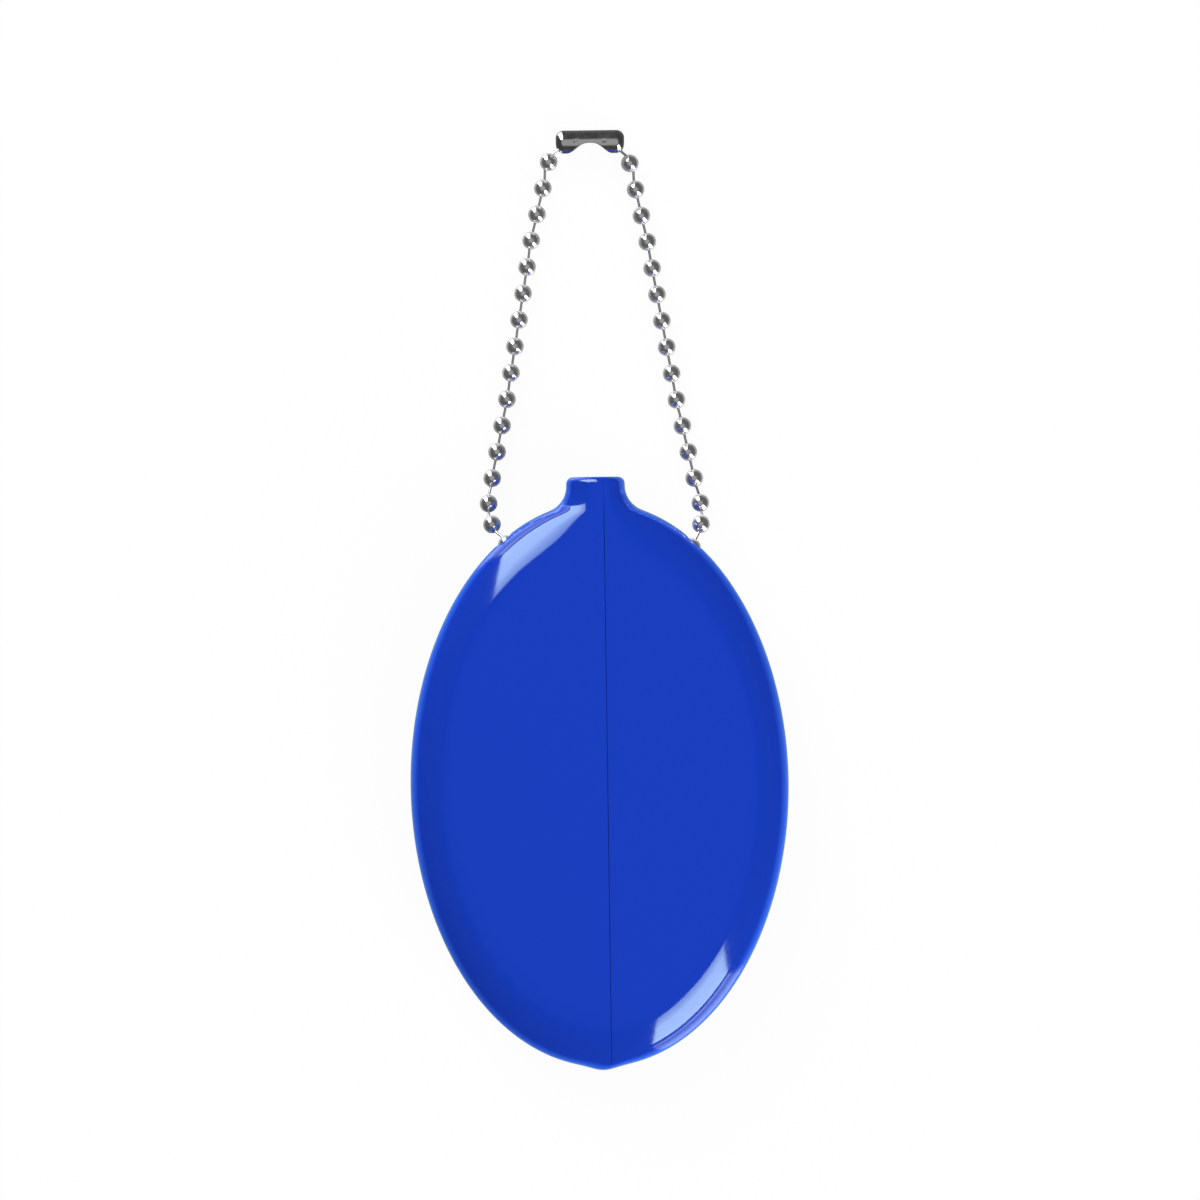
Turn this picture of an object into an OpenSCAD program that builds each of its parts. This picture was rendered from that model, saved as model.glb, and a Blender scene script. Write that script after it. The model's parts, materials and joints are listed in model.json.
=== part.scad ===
// Squeeze coin purse: a hollow vinyl oval with a slit mouth, and a bead chain through two holes
// in its shoulders. It lies on its back: +Z comes out of the mouth, +Y points to the neck.
// The origin is in the middle of the flat patch that it rests on. All sizes are millimetres.

/* [Body] */
// Length of the oval, without the neck and the tip
oval_len = 76.2; // [68:0.2:80]
// Width of the oval
oval_w = 51; // [46:0.5:60]
// Height of the front face above the widest line
front_h = 6.5; // [6:0.1:9]
// Depth of the back below the widest line, before the flat patch is cut
back_h = 6.5; // [6:0.1:9]
// Rise of the slightly domed face inside its rounded edge
face_crown = 1.3; // [0.8:0.1:1.6]
// Width of the rounded edge, measured at the sides
edge_w = 5.7; // [4.5:0.1:8]
// Depth of the flat patch cut into the back
patch_cut = 0.4; // [0.3:0.05:0.6]
// Thickness of the vinyl
wall = 1.8; // [1.4:0.1:2]

/* [Neck and tip] */
// Width of the neck
neck_w = 7.9; // [6.5:0.1:10]
// Thickness of the neck
neck_t = 8; // [7:0.1:9]
// Length of the neck beyond the oval's end
neck_len = 3.35; // [2.8:0.05:8]
// Radius of the hollow corner between the neck and the shoulder
neck_fillet = 3.6; // [2.4:0.1:4]
// Radius of the neck's rounded end
neck_corner = 0.9; // [0.4:0.1:1.2]
// Height of the moulding nub at the tip
nub_h = 0.46; // [0.2:0.02:1]
// Half width of the nub
nub_w = 2; // [1.2:0.1:3]

/* [Mouth] */
// Distance of the slit from the middle, to the right
slit_x = 1.1; // [0:0.1:1.6]
// Width of the closed slit
slit_gap = 0.12; // [0.08:0.02:0.3]
// Height above the widest line at which the lips flex
flex_rise = 2; // [1.8:0.1:2.4]
// Gap under a closed lip
flex_gap = 0.04; // [0.02:0.01:0.1]
// Length of the tip that the slit leaves whole
tip_len = 1; // [0.9:0.1:2]

/* [Chain] */
// Diameter of a bead
bead_d = 2.4; // [2.3:0.05:2.6]
// Distance between neighbouring beads
pitch = 3.62; // [3.5:0.02:3.9]
// Wall of a bead
bead_wall = 0.15; // [0.1:0.01:0.17]
// Diameter of the wire between two beads
wire_d = 0.34; // [0.28:0.02:0.36]
// Clearance around a wire in the hole of its bead
wire_gap = 0.13; // [0.11:0.01:0.13]
// Diameter of the ball on each end of a wire
ball_d = 0.64; // [0.62:0.01:0.68]
// Depth of a wire's ball inside its bead, from the hole
ball_depth = 0.72; // [0.66:0.01:0.74]

/* [Holes for the chain] */
// Clearance around a bead in its hole
hole_gap = 0.3; // [0.15:0.05:0.4]
// Place of the left hole on the oval, in degrees from the right
hole_left = 119.5; // [114:0.1:124]
// Place of the right hole on the oval, in degrees from the right
hole_right = 58.2; // [54:0.1:66]
// Depth of the bead in its hole, from the oval's edge to the bead's middle
hole_bead_depth = 0.8; // [0.5:0.1:1.1]
// Depth of the holes below the widest line
hole_drop = 0.2; // [0.1:0.05:0.6]
// Slope at which the chain sags between the holes, inside the body
sag_slope = 12; // [6:1:14]

/* [Connector] */
// Length of the connector
conn_len = 9.3; // [9:0.1:11]
// Diameter of the connector
conn_d = 3.3; // [3.2:0.05:3.6]
// Thickness of the connector's sheet
conn_wall = 0.25; // [0.2:0.05:0.3]
// Radius of the connector's rounded ends
conn_round = 1.1; // [0.8:0.1:1.4]
// Clearance between an end bead and the connector's end
conn_gap = 0.05; // [0.02:0.01:0.2]
// Width of the slots for the wires
slot_w = 1.3; // [1.1:0.1:1.5]
// Width of the arched opening where a bead is pressed in
arch_w = 4.4; // [3.6:0.1:4.6]
// Distance of the connector's middle from the centre line, to the right
conn_x = -0.1; // [-1:0.1:1]

/* [Hidden] */
// Free beads on each leg of the loop, and beads inside the body
ROWS = 15;
HIDDEN = 8;

SPANS = 15;      // cross-sections between the middle of the hollow and each of its ends
STEPS = 10;      // points across each half of a cross-section
RIM_STEPS = 3;   // points between the widest line and the flex line
RUN = 2 * (STEPS + RIM_STEPS) + 1;
LEVEL = 16;      // how sharply the neck's centre line levels off
SLOPE = 0.1;     // length of the step from the flex plane up to the neck and the tip
ROUND = 48;      // sides of a bead, the connector and the holes
FINE = 24;       // sides of a wire

vinyl = "mediumblue";
steel = "silver";

oval_a = oval_w / 2;
oval_b = oval_len / 2;
mid_z = back_h - patch_cut;
flex_z = mid_z + flex_rise;
neck_top = oval_b + neck_len;
tip_y = -oval_b - nub_h;
bead_r = bead_d / 2;
shell_r = bead_r - bead_wall / 2;
bead_hole_r = wire_d / 2 + wire_gap;
hole_r = bead_r + hole_gap;
hole_z = mid_z - hole_drop;

function two(k) = k < 10 ? str("0", k) : str(k);
function unit(v) = v / norm(v);
function within(v) = min(1, max(0, v));
function reversed(v) = [for (i = [len(v) - 1:-1:0]) v[i]];

// A half section is [half width, half length, edge height, crown, share where the edge starts]
front_skin = [oval_a, oval_b, front_h - face_crown, face_crown, 1 - edge_w / oval_a];
back_skin = [oval_a, oval_b, back_h - face_crown, face_crown, 1 - edge_w / oval_a];
front_hollow = inner(front_skin);
back_hollow = inner(back_skin);
hollow_a = front_hollow[0];
hollow_b = front_hollow[1];
function inner(s) =
    [s[0] - wall, s[1] - wall, s[2] - wall, s[3], 1 - (edge_w - wall) / (s[0] - wall)];

// Height of a skin at the share rho of the way from its middle to its edge:
// a slightly domed face that turns into a quarter round
function height(s, rho) =
    let (u = within((rho - s[4]) / (1 - s[4])))
    s[2] * sqrt(1 - u * u) + s[3] * (1 - within(rho * rho));

// Share rho at which a skin has the height h, found by halving
function share_at(s, h, lo = 0, hi = 1, n = 40) =
    n == 0 ? (lo + hi) / 2
    : let (m = (lo + hi) / 2)
      height(s, m) > h ? share_at(s, h, m, hi, n - 1) : share_at(s, h, lo, m, n - 1);

flex_share = share_at(front_skin, flex_rise);
flex_share_in = share_at(front_hollow, flex_rise);
neck_share = share_at(front_skin, neck_t / 2);

// The neck's hollow corner is an arc that touches the neck's side and the oval.
// It touches the oval at the angle touch
function oval_point(t) = [oval_a * cos(t), oval_b * sin(t)];
function oval_normal(t) = unit([cos(t) / oval_a, sin(t) / oval_b]);
function touch_angle(lo = 45, hi = 90, n = 24) =
    n == 0 ? (lo + hi) / 2
    : let (m = (lo + hi) / 2)
      oval_point(m)[0] + neck_fillet * oval_normal(m)[0] > neck_w / 2 + neck_fillet
      ? touch_angle(m, hi, n - 1) : touch_angle(lo, m, n - 1);
touch = touch_angle();
touch_y = oval_point(touch)[1];
fillet_y = touch_y + neck_fillet * oval_normal(touch)[1];

// Half width of the outline at y: the nub at the tip, the oval, the hollow corner, the neck
function end_inset(y) =
    let (d = neck_corner - (neck_top - y))
    d <= 0 ? 0 : neck_corner - sqrt(max(0, neck_corner * neck_corner - d * d));
function nub_y(x) =
    -oval_b * sqrt(max(0, 1 - pow(x / oval_a, 2))) - nub_h * exp(-pow(x / nub_w, 2));
function nub_x(y, lo = 0, hi = oval_a, n = 26) =
    n == 0 ? (lo + hi) / 2
    : let (m = (lo + hi) / 2)
      nub_y(m) < y ? nub_x(y, m, hi, n - 1) : nub_x(y, lo, m, n - 1);
function half_w(y) =
    y > fillet_y ? neck_w / 2 - end_inset(y)
    : y > touch_y ? neck_w / 2 + neck_fillet - sqrt(pow(neck_fillet, 2) - pow(fillet_y - y, 2))
    : y > 0 ? oval_a * sqrt(1 - pow(y / oval_b, 2))
    : nub_x(y);

// Share rho on the centre line at y. It levels off in the neck, which keeps its thickness
function axis_share(y) =
    y > 0.01 ? pow(pow(y / oval_b, -LEVEL) + pow(neck_share, -LEVEL), -1 / LEVEL)
    : min(0.9999, abs(y / tip_y));
function share(e, s) = sqrt(e * e + (1 - e * e) * s * s);
function across(e, rho) = sqrt(within((rho * rho - e * e) / (1 - e * e)));
function skin_height(s, y, t) = height(s, share(axis_share(y), t)) * (1 - 2 * end_inset(y) / neck_t);
function flex_w(y) = half_w(y) * across(axis_share(y), flex_share);

// Outer points of the cross-section at y, from the left flex line under the back to the right
function rim_side(y, side) =
    [for (i = [0:RIM_STEPS - 1])
        let (t = across(axis_share(y), flex_share + (1 - flex_share) * sin(90 * i / RIM_STEPS)))
        [side * half_w(y) * t, y, mid_z + skin_height(front_skin, y, t)]];
function under(y) =
    [for (i = [-STEPS:STEPS]) let (t = sin(90 * i / STEPS))
        [half_w(y) * t, y, mid_z - skin_height(back_skin, y, abs(t))]];
function outer_run(y) = concat(rim_side(y, -1), under(y), reversed(rim_side(y, 1)));

// Inner points of the same cross-section. The hollow narrows towards the slit, so that both
// lips reach its ends. Its side runs up to the flex line, its floor follows the back
function hollow_x(y, t) =
    slit_x + ((t > 0 ? hollow_a : -hollow_a) - slit_x) * abs(t) * sqrt(within(1 - pow(y / hollow_b, 2)));
function hollow_run(y) =
    [for (i = [RUN - 1:-1:0]) let (j = i - (RUN - 1) / 2, n = abs(j) - STEPS)
        n > 0
        ? let (r = 1 - (1 - flex_share_in) * n / RIM_STEPS)
          [hollow_x(y, sign(j) * r), y, mid_z + height(front_hollow, r)]
        : let (t = sin(90 * j / STEPS))
          [hollow_x(y, t), y, mid_z - height(back_hollow, share(abs(y) / hollow_b, abs(t)))]];
// Past the hollow the inner points lie on the flex plane, and at the neck and the tip, which
// the slit leaves whole, on the front skin
function flat_run(y) =
    [for (i = [RUN - 1:-1:0]) let (t = 2 * i / (RUN - 1) - 1) [slit_x * 0.4 + t * flex_w(y) / 2, y, flex_z]];
function whole_run(y) =
    [for (i = [RUN:-1:1]) let (t = sin(180 * i / (RUN + 1) - 90) * across(axis_share(y), flex_share))
        [half_w(y) * t, y, mid_z + skin_height(front_skin, y, abs(t))]];

// Places of the cross-sections, closer together towards both ends
slit_end = tip_y + tip_len;
slit_top = hollow_b + 0.3;
function between(a, b, n) = [for (i = [1:n - 1]) a + (b - a) * i / n];
tip_places = [for (t = [89, 66, 44, 22]) slit_end - SLOPE - (tip_len - SLOPE) * sin(t)];
low_places = concat([slit_end], between(slit_end, -hollow_b, 2), [-hollow_b]);
hollow_places = [for (i = [1 - SPANS:SPANS - 1]) hollow_b * sin(90 * i / SPANS)];
neck_places = concat([slit_top + SLOPE], between(slit_top + SLOPE, fillet_y, 6),
    [fillet_y, neck_top - neck_corner], [for (t = [30, 60, 90]) neck_top - neck_corner * (1 - sin(t))]);

// A solid through closed loops with equally many points, from the first to the last along Y.
// The two ends are fans around point number hub
module loft(loops, hub) {
    n = len(loops[0]);
    last = (len(loops) - 1) * n;
    sides = [for (j = [0:len(loops) - 2], i = [0:n - 1])
        let (a = j * n + i, b = j * n + (i + 1) % n) each [[a, b + n, a + n], [a, b, b + n]]];
    ends = [for (i = [1:n - 2]) let (a = (hub + i) % n, b = (hub + i + 1) % n)
        each [[hub, b, a], [last + hub, last + a, last + b]]];
    polyhedron([for (l = loops) each l], concat(sides, ends), convexity = 6);
}

// Back, sides, neck and tip of the body
module tray() {
    loft(concat(
        [for (y = tip_places) concat(outer_run(y), whole_run(y))],
        [for (y = low_places) concat(outer_run(y), flat_run(y))],
        [for (y = hollow_places) concat(outer_run(y), hollow_run(y))],
        [for (y = [hollow_b, slit_top]) concat(outer_run(y), flat_run(y))],
        [for (y = neck_places) concat(outer_run(y), whole_run(y))]), RUN - 1);
}

// One lip: the front face on one side of the slit, down to a small gap above the flex plane
lip_rise = flex_rise + flex_gap;
lip_share = share_at(front_skin, lip_rise);
function lip_edge(side) = slit_x + side * slit_gap / 2;
function lip_width(y, side) = side * half_w(y) * across(axis_share(y), lip_share) - lip_edge(side);
function lip_face(y, side) =
    [for (i = [0:STEPS + 2]) let (x = lip_edge(side) + lip_width(y, side) * sin(90 * i / (STEPS + 2)))
        [x, y, mid_z + (i == STEPS + 2 ? lip_rise : skin_height(front_skin, y, abs(x) / half_w(y)))]];
function lip_under(y, side) =
    [for (i = [STEPS:-1:0])
        let (t = flex_share_in * sin(90 * i / STEPS), f = sqrt(within(1 - pow(y / hollow_b, 2))),
            w = f > 0 ? (side * hollow_a - lip_edge(side)) * f : lip_width(y, side) * 0.7,
            h = height(front_hollow, share(min(1, abs(y) / hollow_b), t)))
        [lip_edge(side) + w * t, y, mid_z + max(h, lip_rise)]];
lip_places = concat([slit_end + flex_gap], between(slit_end + flex_gap, -hollow_b, 2),
    [-hollow_b], hollow_places, [hollow_b, slit_top - flex_gap]);
module lip(side) {
    loops = [for (y = lip_places) concat(lip_face(y, side), lip_under(y, side))];
    loft(side > 0 ? [for (l = loops) reversed(l)] : loops, side > 0 ? 2 * STEPS + 3 : 0);
}

// The chain. A bead is named by its leg, -1 or 1, and its number: 0 in the connector,
// ROWS + 1 in the hole, above that inside the body
LEFT_SHAPE = [[0, 0], [1, 0.28], [4, 0.567], [10, 0.974], [13, 1.217], [14, 1.277], [15, 1.228], [16, 1]];
RIGHT_SHAPE = [[0, 0], [1, 0.224], [4, 0.448], [10, 0.819], [13, 1.049], [14, 1.127], [15, 1.13], [16, 1]];
RISE = [[0, 0], [12, 0], [13, 0.03], [14, 0.25], [15, 0.72], [16, 1]];
IN_HOLE = ROWS + 1;
function hole_bead(side) =
    let (t = side < 0 ? hole_left : hole_right, p = oval_point(t) - hole_bead_depth * oval_normal(t))
    [p[0], p[1], hole_z];
function end_x(side) = conn_x + side * (conn_len / 2 - conn_wall - bead_r - conn_gap);
function leg_x(side, i) =
    end_x(side) + (hole_bead(side)[0] - end_x(side)) * lookup(i, side < 0 ? LEFT_SHAPE : RIGHT_SHAPE);
function leg_z(i) = i == 0 ? conn_d / 2 : bead_r + (hole_z - bead_r) * lookup(i, RISE);
function leg_y(side, i) =
    i == IN_HOLE ? hole_bead(side)[1]
    : leg_y(side, i + 1) + sqrt(pow(pitch, 2) - pow(leg_x(side, i) - leg_x(side, i + 1), 2)
        - pow(leg_z(i) - leg_z(i + 1), 2));
function bead_at(side, i) =
    i > IN_HOLE ? hidden_at(side < 0 ? i - IN_HOLE : HIDDEN + 1 - (i - IN_HOLE))
    : [leg_x(side, i), leg_y(side, i), leg_z(i)];

// Inside the body the chain sags from hole to hole in an arc of equal steps. turn is the angle
// between two steps
span_v = hole_bead(1) - hole_bead(-1);
function turn_for(d, lo = 0.1, hi = 40, n = 30) =
    n == 0 ? (lo + hi) / 2
    : let (m = (lo + hi) / 2)
      sin((HIDDEN + 1) * m / 2) / sin(m / 2) > d ? turn_for(d, m, hi, n - 1) : turn_for(d, lo, m, n - 1);
turn = turn_for(norm(span_v) / pitch);
sag_along = unit(span_v);
sag_down = unit(cross(cross(sag_along, [0, -cos(sag_slope), -sin(sag_slope)]), sag_along));
function hidden_at(j) =
    j == 0 ? hole_bead(-1)
    : let (g = turn * (HIDDEN / 2 - (j - 1)))
      hidden_at(j - 1) + pitch * (cos(g) * sag_along + sin(g) * sag_down);

// A bead's axis halves the angle between its two links and points to the connector. In the
// hole it leans more to the free leg.
// pole is the middle of the bead's hole at that end of the axis (way 1) or at the other (way -1)
LEAN = 1.2;
function step(side, i) = unit(bead_at(side, i - 1) - bead_at(side, i));
function bead_axis(side, i) =
    i == 0 ? step(side, 1)
    : unit((i == IN_HOLE ? LEAN : 1) * step(side, i) + step(side, i + 1));
function pole(side, i, way) = bead_at(side, i) + way * shell_r * bead_axis(side, i);

module aim(p, v) {
    translate(p) rotate([0, acos(v[2]), atan2(v[1], v[0])]) children();
}

module bead(side, i) {
    color(steel) aim(bead_at(side, i), bead_axis(side, i)) difference() {
        sphere(r = bead_r, $fn = ROUND);
        sphere(r = bead_r - bead_wall, $fn = ROUND);
        cylinder(h = bead_d + 1, r = bead_hole_r, center = true, $fn = FINE);
    }
}

// A wire through the holes a and b of two neighbouring beads, with a ball inside each bead
module link(a, b) {
    v = unit(b - a);
    l = norm(b - a) + 2 * ball_depth;
    color(steel) aim(a - ball_depth * v, v) union() {
        cylinder(h = l, d = wire_d, $fn = FINE);
        sphere(d = ball_d, $fn = FINE);
        translate([0, 0, l]) sphere(d = ball_d, $fn = FINE);
    }
}

module both_links(i) {
    for (side = [-1, 1]) link(pole(side, i + 1, 1), pole(side, i, -1));
}

// The connector: a sheet tube with drawn-in ends, slots for the wires in both ends and an
// arched opening on the side that faces the purse
module capsule(r, l, e) {
    rotate_extrude($fn = ROUND) difference() {
        union() {
            translate([0, -l / 2 + e]) square([r, l - 2 * e]);
            translate([0, -l / 2]) square([r - e, l]);
            for (y = [-l / 2 + e, l / 2 - e]) translate([r - e, y]) circle(r = e, $fn = ROUND);
        }
        translate([-r, -l]) square([r, 2 * l]);
    }
}

module purse_back() {
    color(vinyl) difference() {
        tray();
        translate([-oval_w, -oval_len, -back_h]) cube([2 * oval_w, 2 * oval_len, back_h]);
        for (side = [-1, 1]) {
            v = bead_at(side, ROWS) - hole_bead(side);
            aim(hole_bead(side), unit([v[0], v[1], 0])) translate([0, 0, -wall - bead_r])
                cylinder(h = wall + bead_r + 2 * bead_d, r = hole_r, $fn = ROUND);
        }
    }
}

module purse_left_lip() {
    color(vinyl) lip(-1);
}

module purse_right_lip() {
    color(vinyl) lip(1);
}

module hole_beads() {
    bead(-1, IN_HOLE);
    bead(1, IN_HOLE);
}

module hidden_beads() {
    for (j = [1:HIDDEN]) bead(-1, IN_HOLE + j);
}

module hidden_links() {
    for (j = [0:HIDDEN - 1]) link(pole(-1, IN_HOLE + j + 1, 1), pole(-1, IN_HOLE + j, -1));
    link(pole(1, IN_HOLE, -1), pole(-1, IN_HOLE + HIDDEN, -1));
}

module end_links() {
    both_links(0);
}

module end_beads() {
    bead(-1, 0);
    bead(1, 0);
}

module connector() {
    v = bead_at(1, 0) - bead_at(-1, 0);
    color(steel) translate((bead_at(-1, 0) + bead_at(1, 0)) / 2)
        rotate([0, -asin(v[2] / norm(v)), atan2(v[1], v[0])]) difference() {
            rotate([0, 90, 0]) capsule(conn_d / 2, conn_len, conn_round);
            rotate([0, 90, 0]) capsule(conn_d / 2 - conn_wall, conn_len - 2 * conn_wall, conn_round - conn_wall);
            rotate([0, 90, 0]) cylinder(h = conn_len + 2, d = slot_w, center = true, $fn = ROUND);
            translate([-conn_len / 2 - 1, -conn_d, -slot_w / 2]) cube([conn_len + 2, conn_d, slot_w]);
            translate([0, -arch_w / 2, 0]) cylinder(h = conn_d + 1, d = arch_w, center = true, $fn = ROUND);
        }
}

module links_15() { both_links(15); }
module links_14() { both_links(14); }
module links_13() { both_links(13); }
module links_12() { both_links(12); }
module links_11() { both_links(11); }
module links_10() { both_links(10); }
module links_09() { both_links(9); }
module links_08() { both_links(8); }
module links_07() { both_links(7); }
module links_06() { both_links(6); }
module links_05() { both_links(5); }
module links_04() { both_links(4); }
module links_03() { both_links(3); }
module links_02() { both_links(2); }
module links_01() { both_links(1); }
module bead_left_15() { bead(-1, 15); }
module bead_left_14() { bead(-1, 14); }
module bead_left_13() { bead(-1, 13); }
module bead_left_12() { bead(-1, 12); }
module bead_left_11() { bead(-1, 11); }
module bead_left_10() { bead(-1, 10); }
module bead_left_09() { bead(-1, 9); }
module bead_left_08() { bead(-1, 8); }
module bead_left_07() { bead(-1, 7); }
module bead_left_06() { bead(-1, 6); }
module bead_left_05() { bead(-1, 5); }
module bead_left_04() { bead(-1, 4); }
module bead_left_03() { bead(-1, 3); }
module bead_left_02() { bead(-1, 2); }
module bead_left_01() { bead(-1, 1); }
module bead_right_15() { bead(1, 15); }
module bead_right_14() { bead(1, 14); }
module bead_right_13() { bead(1, 13); }
module bead_right_12() { bead(1, 12); }
module bead_right_11() { bead(1, 11); }
module bead_right_10() { bead(1, 10); }
module bead_right_09() { bead(1, 9); }
module bead_right_08() { bead(1, 8); }
module bead_right_07() { bead(1, 7); }
module bead_right_06() { bead(1, 6); }
module bead_right_05() { bead(1, 5); }
module bead_right_04() { bead(1, 4); }
module bead_right_03() { bead(1, 3); }
module bead_right_02() { bead(1, 2); }
module bead_right_01() { bead(1, 1); }

purse_back();
purse_left_lip();
purse_right_lip();
hole_beads();
hidden_beads();
hidden_links();
links_15();
links_14();
links_13();
links_12();
links_11();
links_10();
links_09();
links_08();
links_07();
links_06();
links_05();
links_04();
links_03();
links_02();
links_01();
bead_left_15();
bead_left_14();
bead_left_13();
bead_left_12();
bead_left_11();
bead_left_10();
bead_left_09();
bead_left_08();
bead_left_07();
bead_left_06();
bead_left_05();
bead_left_04();
bead_left_03();
bead_left_02();
bead_left_01();
bead_right_15();
bead_right_14();
bead_right_13();
bead_right_12();
bead_right_11();
bead_right_10();
bead_right_09();
bead_right_08();
bead_right_07();
bead_right_06();
bead_right_05();
bead_right_04();
bead_right_03();
bead_right_02();
bead_right_01();
end_links();
end_beads();
connector();
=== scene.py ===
import json
import math

import bmesh
import bpy
from mathutils import Matrix, Quaternion, Vector


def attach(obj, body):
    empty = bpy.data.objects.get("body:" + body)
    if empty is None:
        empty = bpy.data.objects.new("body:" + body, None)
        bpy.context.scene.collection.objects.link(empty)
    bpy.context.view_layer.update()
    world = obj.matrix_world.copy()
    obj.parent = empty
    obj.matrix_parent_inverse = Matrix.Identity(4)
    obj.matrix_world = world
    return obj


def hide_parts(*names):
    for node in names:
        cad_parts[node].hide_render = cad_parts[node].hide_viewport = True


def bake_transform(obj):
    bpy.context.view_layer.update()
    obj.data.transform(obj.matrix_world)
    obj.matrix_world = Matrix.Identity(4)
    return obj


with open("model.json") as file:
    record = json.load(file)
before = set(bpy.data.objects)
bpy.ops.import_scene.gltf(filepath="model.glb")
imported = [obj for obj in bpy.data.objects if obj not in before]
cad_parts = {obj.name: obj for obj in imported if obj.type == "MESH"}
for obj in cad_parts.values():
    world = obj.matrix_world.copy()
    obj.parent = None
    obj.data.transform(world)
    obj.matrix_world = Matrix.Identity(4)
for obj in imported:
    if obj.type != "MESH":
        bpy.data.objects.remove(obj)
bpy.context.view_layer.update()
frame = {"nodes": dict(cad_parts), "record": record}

# Vinyl body. One flexible moulding of glossy blue vinyl, hollow and thick-walled, with a short
# neck at one end and a nub at the other. The front is cut along its length, a little to the
# right of the middle, and the two halves here meet at that cut and along the back.
MM = 0.001
# Outline: the oval, the nub at its tip, and the neck with its hollow corners and rounded end.
OVAL_A, OVAL_B = 25.5, 38.1
TIP_Y, NUB_H, NUB_W = -38.56, 0.46, 2.0
NECK_TOP, NECK_HALF, NECK_T = 41.45, 3.95, 8.0
NECK_FILLET, NECK_ROUND = 3.6, 0.9
# Section: height of the widest line, the round edge, the crowned faces and the resting patch.
MID_Z, EDGE_H, EDGE_WIDE, CROWN, REST_Z = 6.1, 5.2, 5.7, 1.3, 0.02
EDGE_FROM = 1 - EDGE_WIDE / OVAL_A
# Share of the section at which the body is NECK_T thick, and how sharply it levels off there.
NECK_SHARE, NECK_LEVEL = 0.92814, 16
# Wall, the share of the room that it may take, and the least that is left of it.
WALL, WALL_SHARE, WALL_LEAST = 1.8, 0.42, 0.05
# Slit. It narrows over its last millimetre to a share of its gap, which goes on up the neck.
SLIT_X, SLIT_GAP, SLIT_FROM, SLIT_TO = 1.1, 0.07, -37.98, 38.4
SLIT_FULL = SLIT_TO - 1
NECK_GAP_SHARE = 0.25
# Most of the half width that the slit's offset may take, near the tip.
SLIT_OFFSET_SHARE = 0.35
# Rounding of the lips, and its share near the slit's ends.
LIP_ROUND, LIP_FROM, LIP_END_SHARE = 0.1, -35, 0.4
# Shoulder holes. Each runs from the bead in it towards the next bead outside.
HOLE_R, HOLE_SIDES, HOLE_Z, HOLE_NEAR = 1.5, 24, 5.9, 2.6
HOLE_AT = {-1: (-12.04, 32.55), 1: (12.89, 31.79)}
HOLE_TO = {-1: (-14.04, 35.26), 1: (14.17, 34.91)}
HALVINGS = 40


def skin_height(rho):
    """Height of the skin above the widest line, at the share rho of the way to its edge."""
    u = min(1.0, max(0.0, (rho - EDGE_FROM) / (1 - EDGE_FROM)))
    return EDGE_H * math.sqrt(1 - u * u) + CROWN * (1 - min(1.0, rho * rho))


def oval_normal(t):
    return Vector((math.cos(t) / OVAL_A, math.sin(t) / OVAL_B)).normalized()


def neck_corner():
    """Where the neck's hollow corner leaves the oval, and where it ends on the neck's side."""
    low, high = math.radians(45), math.radians(90)
    for _ in range(HALVINGS):
        t = (low + high) / 2
        over = OVAL_A * math.cos(t) + NECK_FILLET * oval_normal(t).x > NECK_HALF + NECK_FILLET
        low, high = (t, high) if over else (low, t)
    start = OVAL_B * math.sin(t)
    return start, start + NECK_FILLET * oval_normal(t).y


CORNER_FROM, CORNER_TO = neck_corner()


def end_inset(y):
    """How far the neck's rounded end is drawn in at y, all round."""
    d = NECK_ROUND - (NECK_TOP - y)
    return 0.0 if d <= 0 else NECK_ROUND - math.sqrt(max(0.0, NECK_ROUND**2 - d * d))


def half_width(y):
    """Half the width of the outline: the oval with its nub, the hollow corner, then the neck."""
    if y > CORNER_TO:
        return NECK_HALF - end_inset(y)
    if y > CORNER_FROM:
        return NECK_HALF + NECK_FILLET - math.sqrt(NECK_FILLET**2 - (CORNER_TO - y) ** 2)
    if y > 0:
        return OVAL_A * math.sqrt(1 - (y / OVAL_B) ** 2)
    low, high = 0.0, OVAL_A
    for _ in range(HALVINGS):
        x = (low + high) / 2
        oval_y = -OVAL_B * math.sqrt(max(0.0, 1 - (x / OVAL_A) ** 2))
        edge = oval_y - NUB_H * math.exp(-(x / NUB_W) ** 2)
        low, high = (x, high) if edge < y else (low, x)
    return x


def axis_share(y):
    """Share of the way to the skin's edge at which its middle line lies at y."""
    if y > 0:
        return ((y / OVAL_B) ** -NECK_LEVEL + NECK_SHARE**-NECK_LEVEL) ** (-1 / NECK_LEVEL)
    return min(1.0, abs(y / TIP_Y))


def slit_half_gap(y):
    """Half the width of the closed slit: none at the tip, and hardly any in the neck."""
    if y < SLIT_FROM:
        return 0.0
    return SLIT_GAP / 2 * (1 if y < SLIT_FULL else max(NECK_GAP_SHARE, SLIT_TO - y))


# The skin's rings: evenly turned round the oval, evenly spaced up the shoulders and the neck,
# round the neck's edge, and in over its flat end.
RING_TURN = 1.5
COLUMNS = 192
ring_y = [TIP_Y * math.cos(math.radians(RING_TURN * i)) for i in range(1, 61)]
ring_y += [OVAL_B * math.sin(math.radians(RING_TURN * i)) for i in range(1, 43)]
ring_y += [34.2 + 0.3 * i for i in range(22)]
ring_y += [NECK_TOP - NECK_ROUND * (1 - math.sin(math.radians(10 * i))) for i in range(1, 10)]
rings = [(y, 1.0) for y in ring_y] + [(NECK_TOP, s) for s in (0.93, 0.8, 0.6, 0.35)]


def faces_near(bm, centre):
    return [f for f in bm.faces if (f.calc_center_median() - centre).length < HOLE_NEAR * MM]


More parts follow.
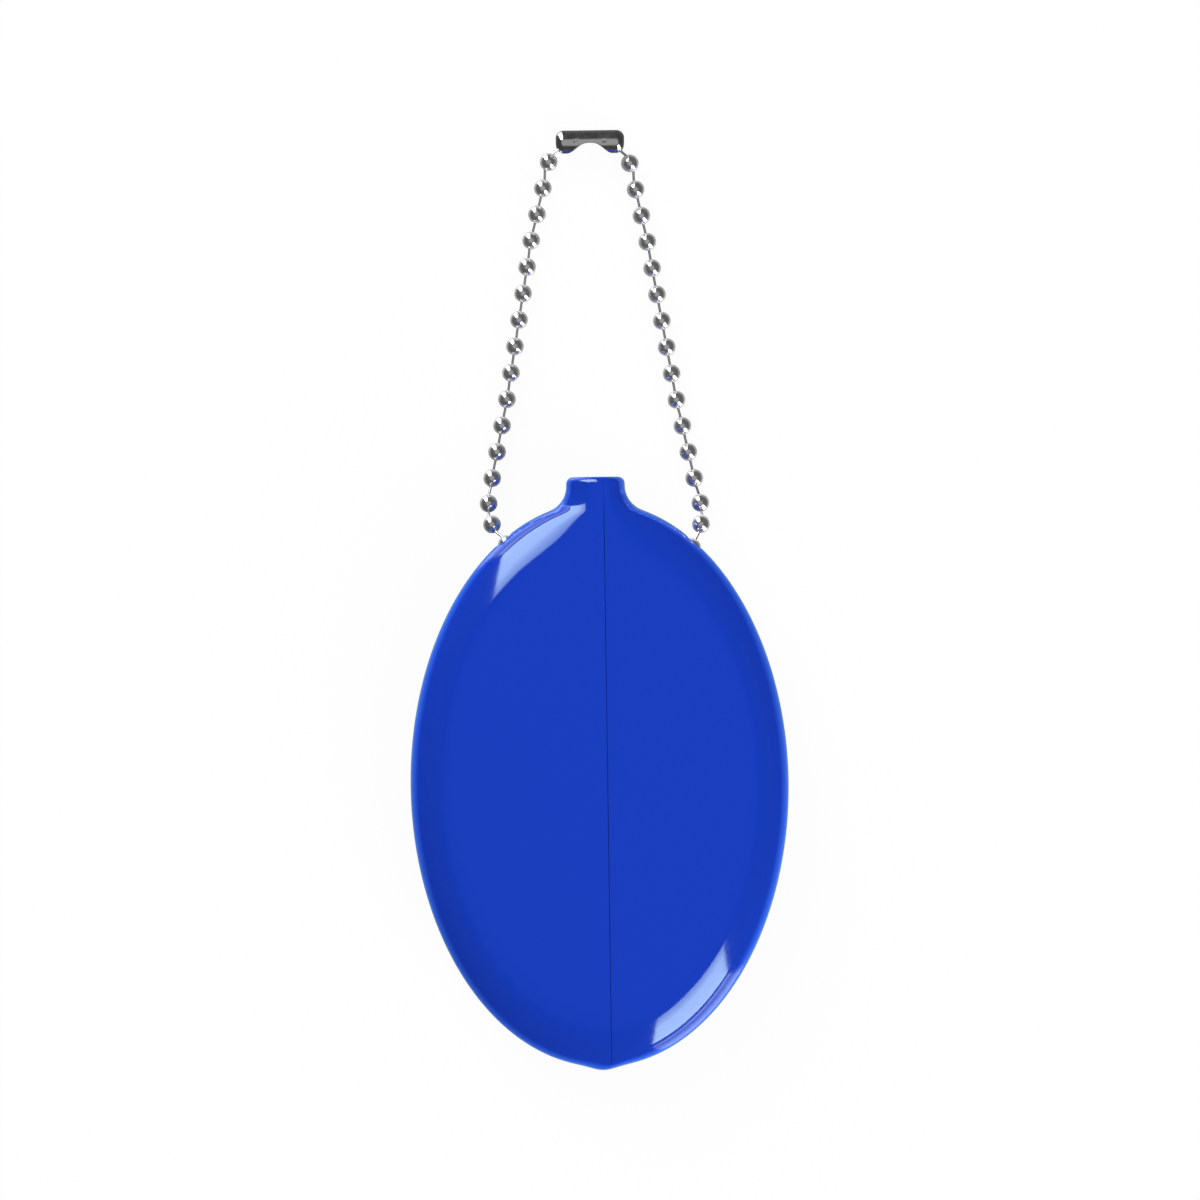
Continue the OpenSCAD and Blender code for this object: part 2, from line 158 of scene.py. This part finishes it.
def cut_hole(bm, side):
    """Cuts the round hole for the chain into a shoulder, along the chain's own direction."""
    centre = Vector((*HOLE_AT[side], HOLE_Z)) * MM
    axis = Vector((*HOLE_TO[side], HOLE_Z)) * MM - centre
    axis.normalize()
    up = Vector((0, 0, 1))
    flat = axis.cross(up)
    for i in range(HOLE_SIDES):
        turn = 2 * math.pi * i / HOLE_SIDES
        out = math.cos(turn) * flat + math.sin(turn) * up
        near = faces_near(bm, centre)
        edges = list(dict.fromkeys(e for f in near for e in f.edges))
        verts = list(dict.fromkeys(v for f in near for v in f.verts))
        bmesh.ops.bisect_plane(bm, geom=near + edges + verts, dist=1e-7,
                               plane_co=centre + HOLE_R * MM * out, plane_no=out)
    inside = []
    sector = 2 * math.pi / HOLE_SIDES
    for f in faces_near(bm, centre):
        arm = f.calc_center_median() - centre
        around = math.atan2(arm.z, arm.dot(flat))
        off = (around + sector / 2) % sector - sector / 2
        if math.hypot(arm.z, arm.dot(flat)) * math.cos(off) < HOLE_R * MM:
            inside.append(f)
    rim = {e for f in inside for e in f.edges}
    bmesh.ops.delete(bm, geom=inside, context="FACES")
    return [e for e in rim if e.is_valid and e.is_boundary]


def half_skin(name, side):
    """The skin on one side of the slit: half a sphere's net, drawn out to the body's sections."""
    bm = bmesh.new()
    bmesh.ops.create_uvsphere(bm, u_segments=COLUMNS, v_segments=len(rings) + 1, radius=1.0,
                              matrix=Matrix.Rotation(math.radians(-90), 4, "X"))
    bmesh.ops.bisect_plane(bm, geom=bm.verts[:] + bm.edges[:] + bm.faces[:], dist=1e-4,
                           plane_co=(0, 0, 0), plane_no=(side, 0, 0), clear_inner=True)
    weight = bm.edges.layers.float.new("bevel_weight_edge")
    thin = bm.verts.layers.deform.verify()
    step = math.pi / (len(rings) + 1)
    for v in bm.verts:
        ring = round((math.asin(max(-1.0, min(1.0, v.co.y))) + math.pi / 2) / step) - 1
        y, scale = rings[min(max(ring, 0), len(rings) - 1)]
        if ring < 0:
            y, scale = TIP_Y, 0.0
        if ring >= len(rings):
            scale = 0.0
        around = Vector((v.co.x, v.co.z))
        around = around.normalized() if around.length > 1e-6 else Vector((0, 1))
        across, e, wide = abs(around.x), axis_share(y), half_width(y)
        rho = math.sqrt(e * e + (1 - e * e) * across * across)
        height = skin_height(rho) * (1 - 2 * end_inset(y) / NECK_T)
        slit_x = min(SLIT_X, SLIT_OFFSET_SHARE * wide)
        x = (slit_x * (1 - across) + side * wide * across) * scale
        if across < 1e-3 and around.y > 0 and scale == 1.0:
            x += side * slit_half_gap(y)
        z = MID_Z + math.copysign(height, around.y) * scale
        room = WALL_SHARE * min(skin_height(e), wide)
        v[thin][0] = min(1.0, max(WALL_LEAST, room / WALL))
        v.co = Vector((x, y, max(z, REST_Z))) * MM
    hole_edges = cut_hole(bm, side)
    for edge in bm.edges:
        a, b = edge.verts
        on_front = min(a.co.z, b.co.z) > MID_Z * MM and min(a.co.y, b.co.y) > SLIT_FROM * MM
        if edge.is_boundary and on_front:
            full = LIP_FROM * MM < a.co.y < SLIT_FULL * MM
            edge[weight] = 1.0 if full else LIP_END_SHARE
            if a.co.y > (NECK_TOP - NECK_ROUND) * MM:
                edge[weight] = 0.0
    for edge in hole_edges:
        edge[weight] = 1.0
    for edge in bm.edges:
        edge.smooth = not edge.is_boundary or edge[weight] > 0
    bmesh.ops.recalc_face_normals(bm, faces=bm.faces)
    if sum(f.normal.z * (f.calc_center_median().z - MID_Z * MM) for f in bm.faces) < 0:
        bmesh.ops.reverse_faces(bm, faces=bm.faces)
    for f in bm.faces:
        f.smooth = True
    mesh = bpy.data.meshes.new(name)
    bm.to_mesh(mesh)
    bm.free()
    skin = bpy.data.objects.new(name, mesh)
    bpy.context.collection.objects.link(skin)
    skin.vertex_groups.new(name="thin")
    wall = skin.modifiers.new("wall", "SOLIDIFY")
    wall.thickness, wall.offset, wall.use_even_offset = WALL * MM, -1.0, True
    wall.vertex_group = "thin"
    lip = skin.modifiers.new("lip", "BEVEL")
    lip.limit_method, lip.width, lip.segments, lip.profile = "WEIGHT", LIP_ROUND * MM, 3, 0.5
    return skin


def new_material(name):
    """A new material, with its nodes, its links and its shader."""
    material = bpy.data.materials.new(name)
    material.use_nodes = True
    tree = material.node_tree
    return material, tree.nodes, tree.links, tree.nodes["Principled BSDF"]


# The vinyl's colour is deep on the face and painted lighter at the outline, where the skin turns
# away: a painted rim light.
vinyl, nodes, links, shader = new_material("blue_vinyl")
shader.inputs["Sheen Weight"].default_value = 0.6
shader.inputs["Sheen Roughness"].default_value = 0.2
shader.inputs["Sheen Tint"].default_value = (0.07, 0.26, 1, 1)
shader.inputs["Specular Tint"].default_value = (0.67, 0.93, 1, 1)
view = nodes.new("ShaderNodeLayerWeight")
painted_rim_light = nodes.new("ShaderNodeValToRGB")
painted_rim_light.color_ramp.elements[0].position = 0.42
painted_rim_light.color_ramp.elements[0].color = (0.0066, 0.0425, 0.492, 1)
painted_rim_light.color_ramp.elements[1].position = 0.95
painted_rim_light.color_ramp.elements[1].color = (0.20, 0.50, 1, 1)
stop = painted_rim_light.color_ramp.elements.new(0.65)
stop.color = (0.035, 0.15, 1, 1)
links.new(view.outputs["Facing"], painted_rim_light.inputs["Fac"])
links.new(painted_rim_light.outputs["Color"], shader.inputs["Base Color"])
# Its gloss is faint on the flat face, full on the round edge, and dim in a band between.
gloss = nodes.new("ShaderNodeValToRGB")
gloss.color_ramp.elements[0].position = 0.027
gloss.color_ramp.elements[0].color = (0.2, 0.2, 0.2, 1)
gloss.color_ramp.elements[1].position = 1.0
gloss.color_ramp.elements[1].color = (0.6, 0.6, 0.6, 1)
for position, value in ((0.12, 1.15), (0.29, 1.15), (0.41, 0.35), (0.53, 1.2), (0.85, 1.2)):
    stop = gloss.color_ramp.elements.new(position)
    stop.color = (value, value, value, 1)
links.new(view.outputs["Facing"], gloss.inputs["Fac"])
links.new(gloss.outputs["Color"], shader.inputs["Specular IOR Level"])
# Slow waves from the moulding, fine pores, and a roughness that varies with the pores.
place = nodes.new("ShaderNodeTexCoord")
flow = nodes.new("ShaderNodeTexNoise")
flow.inputs["Scale"].default_value = 60
flow.inputs["Detail"].default_value = 2
links.new(place.outputs["Object"], flow.inputs["Vector"])
grain = nodes.new("ShaderNodeTexNoise")
grain.inputs["Scale"].default_value = 2600
grain.inputs["Detail"].default_value = 3
links.new(place.outputs["Object"], grain.inputs["Vector"])
swell = nodes.new("ShaderNodeBump")
swell.inputs["Strength"].default_value = 0.25
swell.inputs["Distance"].default_value = 0.0002
links.new(flow.outputs["Fac"], swell.inputs["Height"])
pores = nodes.new("ShaderNodeBump")
pores.inputs["Strength"].default_value = 0.03
pores.inputs["Distance"].default_value = 0.00002
links.new(grain.outputs["Fac"], pores.inputs["Height"])
links.new(swell.outputs["Normal"], pores.inputs["Normal"])
links.new(pores.outputs["Normal"], shader.inputs["Normal"])
wear = nodes.new("ShaderNodeMapRange")
wear.inputs["From Min"].default_value = 0.35
wear.inputs["From Max"].default_value = 0.75
wear.inputs["To Min"].default_value = 0.07
wear.inputs["To Max"].default_value = 0.11
links.new(grain.outputs["Fac"], wear.inputs["Value"])
links.new(wear.outputs["Result"], shader.inputs["Roughness"])

# Both halves of the skin, in place of the imported lips and back.
for name, side, node, body in (("left_skin", -1, "purse_left_lip", "left_lip"),
                               ("right_skin", 1, "purse_right_lip", "right_lip")):
    skin = half_skin(name, side)
    skin.data.materials.append(vinyl)
    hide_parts(node, "purse_back")
    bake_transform(skin)


# Bead chain. Hollow beads are pressed from nickel-plated steel strip, round short wires whose
# ends are headed into balls. Each bead keeps two small holes that the wires turn in.
def nickel_plate(name, flat_metal, rim_metal):
    """Nickel plate. Towards its outline it turns partly diffuse and so shows lighter there: a
    painted rim light.
    """
    material, nodes, links, shader = new_material(name)
    shader.inputs["Base Color"].default_value = (0.8, 0.8, 0.81, 1)
    view = nodes.new("ShaderNodeLayerWeight")
    # Painted rim light: the metal share falls towards the outline, so the edge shows as lit grey.
    painted_rim_shine = nodes.new("ShaderNodeMapRange")
    painted_rim_shine.inputs["From Min"].default_value = 0.3
    painted_rim_shine.inputs["From Max"].default_value = 0.65
    painted_rim_shine.inputs["To Min"].default_value = flat_metal
    painted_rim_shine.inputs["To Max"].default_value = rim_metal
    links.new(view.outputs["Facing"], painted_rim_shine.inputs["Value"])
    links.new(painted_rim_shine.outputs["Result"], shader.inputs["Metallic"])
    place = nodes.new("ShaderNodeTexCoord")
    haze = nodes.new("ShaderNodeTexNoise")
    haze.inputs["Scale"].default_value = 1500
    haze.inputs["Detail"].default_value = 4
    links.new(place.outputs["Object"], haze.inputs["Vector"])
    polish = nodes.new("ShaderNodeMapRange")
    polish.inputs["From Min"].default_value = 0.3
    polish.inputs["From Max"].default_value = 0.8
    polish.inputs["To Min"].default_value = 0.08
    polish.inputs["To Max"].default_value = 0.22
    links.new(haze.outputs["Fac"], polish.inputs["Value"])
    links.new(polish.outputs["Result"], shader.inputs["Roughness"])
    dents = nodes.new("ShaderNodeBump")
    dents.inputs["Strength"].default_value = 0.12
    dents.inputs["Distance"].default_value = 0.00004
    links.new(haze.outputs["Fac"], dents.inputs["Height"])
    links.new(dents.outputs["Normal"], shader.inputs["Normal"])
    return material


nickel = nickel_plate("nickel", 0.9, 0.25)
CREASE = math.radians(35)


def smooth_copy(node, body):
    """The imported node's own shape with its triangles joined, so that it shades as a round one."""
    source = frame["nodes"][node]
    bm = bmesh.new()
    bm.from_mesh(source.data)
    bmesh.ops.remove_doubles(bm, verts=bm.verts, dist=2e-6)
    for f in bm.faces:
        f.smooth = True
    for edge in bm.edges:
        edge.smooth = len(edge.link_faces) == 2 and edge.calc_face_angle(0) < CREASE
    mesh = bpy.data.meshes.new(node + "_smooth")
    bm.to_mesh(mesh)
    bm.free()
    piece = bpy.data.objects.new(node + "_smooth", mesh)
    bpy.context.collection.objects.link(piece)
    piece.data.materials.append(nickel)
    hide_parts(node)
    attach(piece, body)


bodies = frame["record"]["behaviour"]["bodies"]
body_of_node = {node: body for body, names in bodies.items() for node in names}
for node in frame["nodes"]:
    if not node.startswith("purse_") and node != "connector":
        smooth_copy(node, body_of_node[node])

# Connector. A strip of the same steel rolled to a tube with drawn-in ends. It is open along the
# side that faces the purse, with an arch in the middle of that side where the end beads are
# pressed in, and two small dimples keep them apart.
TUBE_LEN, TUBE_R, TUBE_ROUND, SHEET, RIM = 9.3, 1.65, 1.1, 0.25, 0.04
SLOT_HALF, ARCH_REACH, ARCH_CURVE = 0.8, 3.0, 1.35
DIMPLE_X, DIMPLE_Y, DIMPLE_R, DIMPLE_DEPTH = 1.95, 0.07, 0.22, 0.07
TUBE_AT = (-0.1, 86.72, 1.65)
end_drop = math.sqrt(TUBE_ROUND**2 - (SLOT_HALF - TUBE_R + TUBE_ROUND) ** 2)
end_x = TUBE_LEN / 2 - TUBE_ROUND + end_drop
bm = bmesh.new()
bmesh.ops.create_grid(bm, x_segments=120, y_segments=72, size=1.0)
for v in bm.verts:
    x = end_x * (math.sin(v.co.x * math.pi / 2) + v.co.x) / 2
    drawn = max(0.0, abs(x) - TUBE_LEN / 2 + TUBE_ROUND)
    r = TUBE_R - TUBE_ROUND + math.sqrt(TUBE_ROUND**2 - min(drawn, TUBE_ROUND) ** 2)
    edge_y = -math.sqrt(max(0.0, r * r - SLOT_HALF**2))
    arch = 0.5 - 0.5 * math.cos(math.pi * min(1.0, (abs(x) / ARCH_REACH) ** ARCH_CURVE))
    open_to = max(edge_y, edge_y * arch)
    turn = v.co.y * math.acos(max(-1.0, min(1.0, open_to / r)))
    y, z = r * math.cos(turn), r * math.sin(turn)
    near = (abs(x) - DIMPLE_X) ** 2 + (y - DIMPLE_Y) ** 2
    dimple = 1 - DIMPLE_DEPTH * math.exp(-near / DIMPLE_R**2)
    v.co = Vector((x + TUBE_AT[0], y * dimple + TUBE_AT[1], z * dimple + TUBE_AT[2])) * MM
bmesh.ops.recalc_face_normals(bm, faces=bm.faces)
if sum(f.normal.y * (f.calc_center_median().y - TUBE_AT[1] * MM) for f in bm.faces) < 0:
    bmesh.ops.reverse_faces(bm, faces=bm.faces)
for f in bm.faces:
    f.smooth = True
tube_mesh = bpy.data.meshes.new("connector_tube")
bm.to_mesh(tube_mesh)
bm.free()
tube = bpy.data.objects.new("connector_tube", tube_mesh)
bpy.context.collection.objects.link(tube)
sheet = tube.modifiers.new("sheet", "SOLIDIFY")
sheet.thickness, sheet.offset, sheet.use_even_offset = SHEET * MM, -1.0, True
rim = tube.modifiers.new("rim", "BEVEL")
rim.width, rim.segments, rim.profile, rim.limit_method = RIM * MM, 2, 0.5, "ANGLE"
rim.angle_limit = math.radians(40)
tube.data.materials.append(nickel_plate("bright_nickel", 0.99, 0.9))
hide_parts("connector")
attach(tube, body_of_node["connector"])

# Floor. A white sweep of paper under the purse. The eye sees it glow nearly white with the
# purse's shadow on it, and the purse's gloss sees it dark.
bm = bmesh.new()
bmesh.ops.create_grid(bm, x_segments=1, y_segments=1, size=3.0)
floor_mesh = bpy.data.meshes.new("floor")
bm.to_mesh(floor_mesh)
bm.free()
floor = bpy.data.objects.new("floor", floor_mesh)
bpy.context.collection.objects.link(floor)
paper, nodes, links, shader = new_material("white_paper")
shader.inputs["Roughness"].default_value = 0.1
glow = nodes.new("ShaderNodeEmission")
rays = nodes.new("ShaderNodeLightPath")
tone = nodes.new("ShaderNodeMapRange")
tone.inputs["To Min"].default_value = 0.95
tone.inputs["To Max"].default_value = 0.03
links.new(rays.outputs["Is Glossy Ray"], tone.inputs["Value"])
links.new(tone.outputs["Result"], shader.inputs["Base Color"])
polish = nodes.new("ShaderNodeMapRange")
polish.inputs["To Min"].default_value = 0.5
polish.inputs["To Max"].default_value = 3.0
links.new(rays.outputs["Is Glossy Ray"], polish.inputs["Value"])
links.new(polish.outputs["Result"], shader.inputs["Specular IOR Level"])
share = nodes.new("ShaderNodeMath")
share.operation = "MULTIPLY"
share.inputs[1].default_value = 0.95
links.new(rays.outputs["Is Camera Ray"], share.inputs[0])
mixer = nodes.new("ShaderNodeMixShader")
links.new(share.outputs[0], mixer.inputs["Fac"])
links.new(shader.outputs[0], mixer.inputs[1])
links.new(glow.outputs[0], mixer.inputs[2])
links.new(mixer.outputs[0], nodes["Material Output"].inputs["Surface"])
floor.data.materials.append(paper)

# Lamps. Two tall soft boxes stand beside the purse and give the long panels of light on its
# round edge, one at the upper left and one at the lower right.
LAMP_AWAY, LAMP_UP = 0.9, 0.57


def soft_box(name, azimuth, roll, size, power):
    """A rectangular lamp that stands upright beside the purse. Azimuth 0 is +Y and 90 is -X."""
    lamp = bpy.data.lights.new(name, "AREA")
    lamp.shape, lamp.size, lamp.size_y, lamp.energy = "RECTANGLE", size[0], size[1], power
    a = math.radians(azimuth)
    outward = Vector((-math.sin(a), math.cos(a), 0))
    spot = bpy.data.objects.new(name, lamp)
    spot.location = LAMP_AWAY * outward + Vector((0, 0, LAMP_UP))
    spot.rotation_mode = "QUATERNION"
    rolled = Quaternion((0, 0, 1), math.radians(roll))
    spot.rotation_quaternion = outward.to_track_quat("Z", "Y") @ rolled
    bpy.context.collection.objects.link(spot)


soft_box("soft_box_upper_left", 30.5, -7.5, (0.53, 1.02), 9)
soft_box("soft_box_lower_right", 220.7, -3, (0.50, 1.02), 8.5)

# Room. It lights the purse evenly. Gloss sees it dark all round and pale straight above.
world = bpy.data.worlds.new("studio")
bpy.context.scene.world = world
world.use_nodes = True
nodes, links = world.node_tree.nodes, world.node_tree.links
sky = nodes["Background"]
sky.inputs["Color"].default_value = (1, 1, 1, 1)
place = nodes.new("ShaderNodeTexCoord")
parts = nodes.new("ShaderNodeSeparateXYZ")
links.new(place.outputs["Generated"], parts.inputs[0])
ceiling = nodes.new("ShaderNodeMapRange")
ceiling.inputs["From Min"].default_value = 0.8
ceiling.inputs["From Max"].default_value = 0.92
ceiling.inputs["To Min"].default_value = 0.04
ceiling.inputs["To Max"].default_value = 0.33
links.new(parts.outputs["Z"], ceiling.inputs["Value"])
rays = nodes.new("ShaderNodeLightPath")
level = nodes.new("ShaderNodeMapRange")
level.inputs["To Min"].default_value = 0.5
links.new(rays.outputs["Is Glossy Ray"], level.inputs["Value"])
links.new(ceiling.outputs["Result"], level.inputs["To Max"])
links.new(level.outputs["Result"], sky.inputs["Strength"])

# Camera. It looks straight down through a long lens, turned a little as in the photo.
FRAME_WIDE, CAMERA_UP, SENSOR = 0.16188, 2.0, 36
CAMERA_X, CAMERA_Y, CAMERA_TURN = 0.00040, 0.02485, -0.8
camera_data = bpy.data.cameras.new("camera")
camera_data.sensor_width = SENSOR
camera_data.lens = SENSOR * CAMERA_UP / FRAME_WIDE
camera_data.clip_end = 20
camera = bpy.data.objects.new("camera", camera_data)
camera.location = (CAMERA_X, CAMERA_Y, MID_Z * MM + CAMERA_UP)
camera.rotation_euler = (0, 0, math.radians(CAMERA_TURN))
bpy.context.collection.objects.link(camera)
bpy.context.scene.camera = camera
bpy.context.scene.view_settings.view_transform = "Standard"
